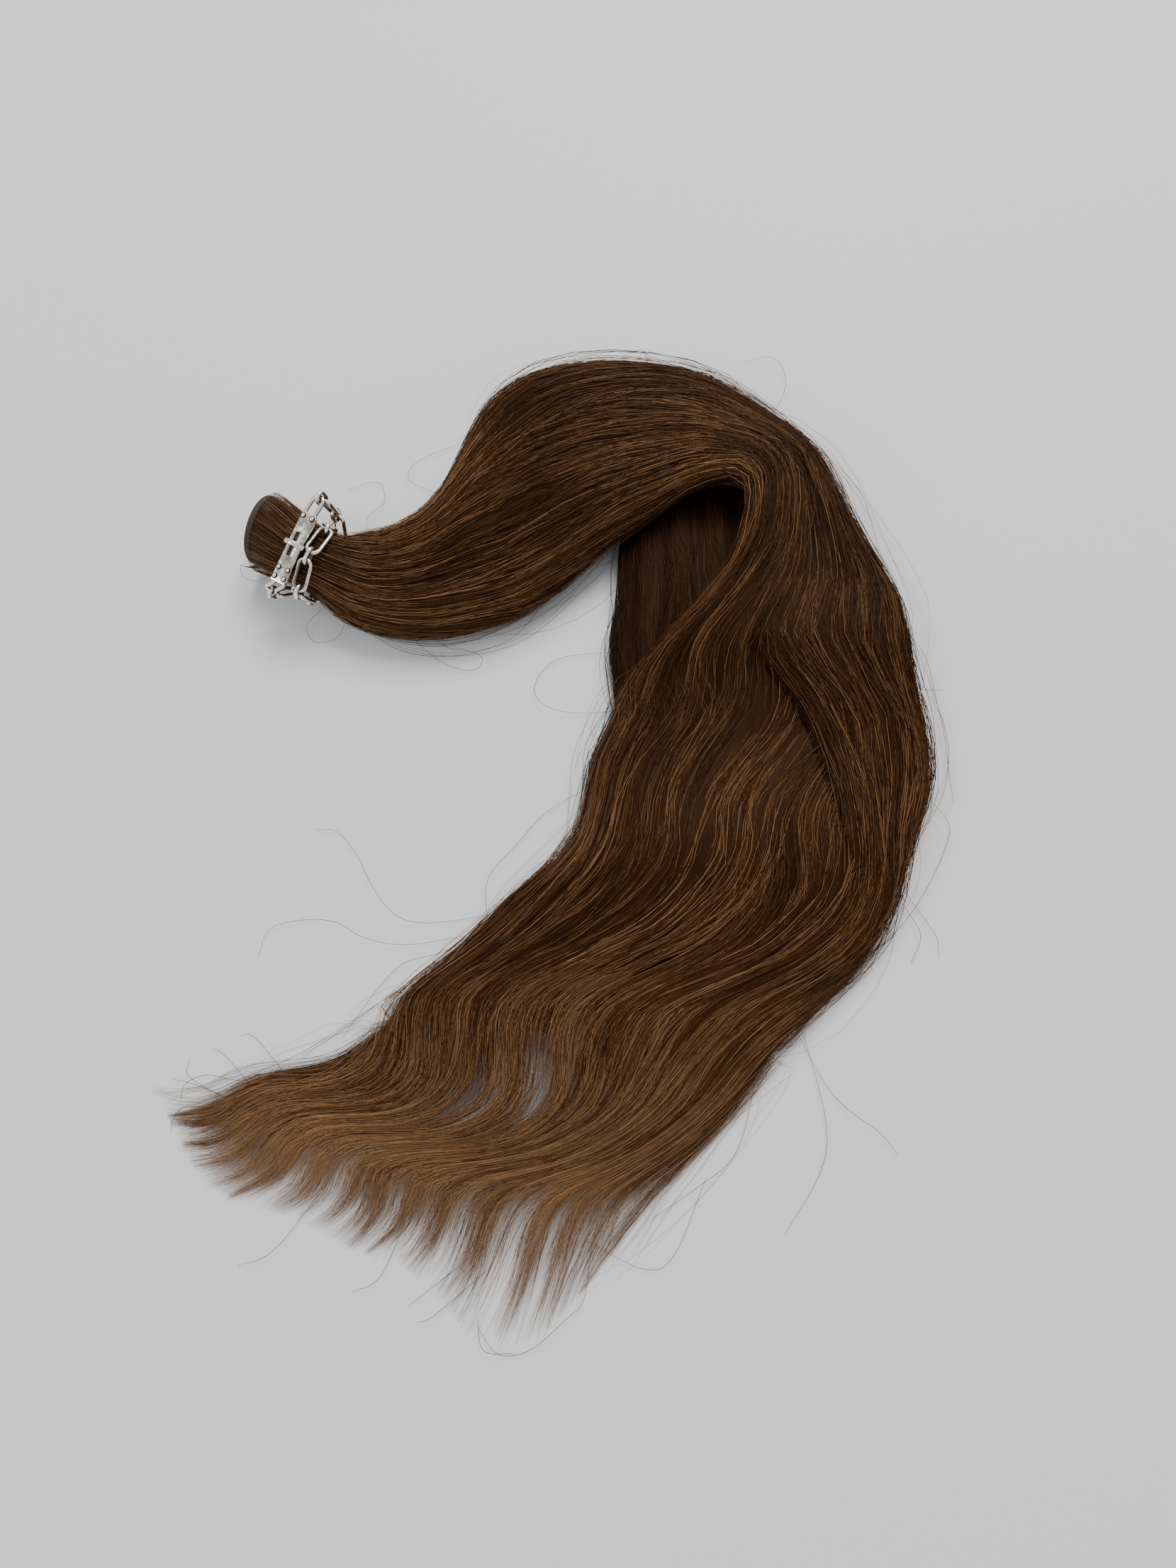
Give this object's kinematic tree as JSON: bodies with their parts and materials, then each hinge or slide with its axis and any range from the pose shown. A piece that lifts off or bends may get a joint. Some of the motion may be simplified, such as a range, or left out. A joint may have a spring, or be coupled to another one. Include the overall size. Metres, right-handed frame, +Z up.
{
  "type": "hair weft with a chain tie",
  "caption": "Long wavy brown hair weft lying in an S-shaped fold with its track rolled up, tied at the neck by an oval-link chain with a turn-lock clasp.",
  "frame": {"origin": "bottom centre of the box round the whole bundle, on the table", "axes": "+Z up from the table, +Y from the pointed tips towards the crest of the arm, +X from the rolled track towards the body of the hair"},
  "size_m": [0.2368, 0.3264, 0.0343],
  "materials": {
    "hair_brown": "glossy brown strands",
    "track_cloth": "matt sewn band",
    "old_silver": "worn silver with dark recesses"
  },
  "bodies": {
    "bundle": {"hair": "hair_brown", "weft_track": "track_cloth", "clasp_plate": "old_silver", "clasp_base": "old_silver", "rivet_1": "old_silver", "rivet_2": "old_silver", "rivet_3": "old_silver", "rivet_4": "old_silver", "rivet_5": "old_silver", "rivet_6": "old_silver", "long_link_1": "old_silver", "long_link_2": "old_silver", "long_link_3": "old_silver", "long_link_4": "old_silver", "long_link_5": "old_silver", "long_link_6": "old_silver", "long_link_7": "old_silver", "long_link_8": "old_silver", "long_link_9": "old_silver", "long_link_10": "old_silver", "long_link_11": "old_silver", "short_link_1": "old_silver", "short_link_2": "old_silver", "short_link_3": "old_silver", "short_link_4": "old_silver", "short_link_5": "old_silver", "short_link_6": "old_silver", "short_link_7": "old_silver", "short_link_8": "old_silver", "short_link_9": "old_silver", "short_link_10": "old_silver", "short_link_11": "old_silver", "short_link_12": "old_silver"},
    "lock": {"turn_knob": "old_silver"}
  },
  "joints": [
    {"name": "turn_lock", "type": "hinge", "parent": "bundle", "child": "lock", "pos_m": [-0.08719, 0.08267, 0.01571], "axis": [-0.1606, -0.302, 0.9397], "range_deg": [0, 90]}
  ]
}
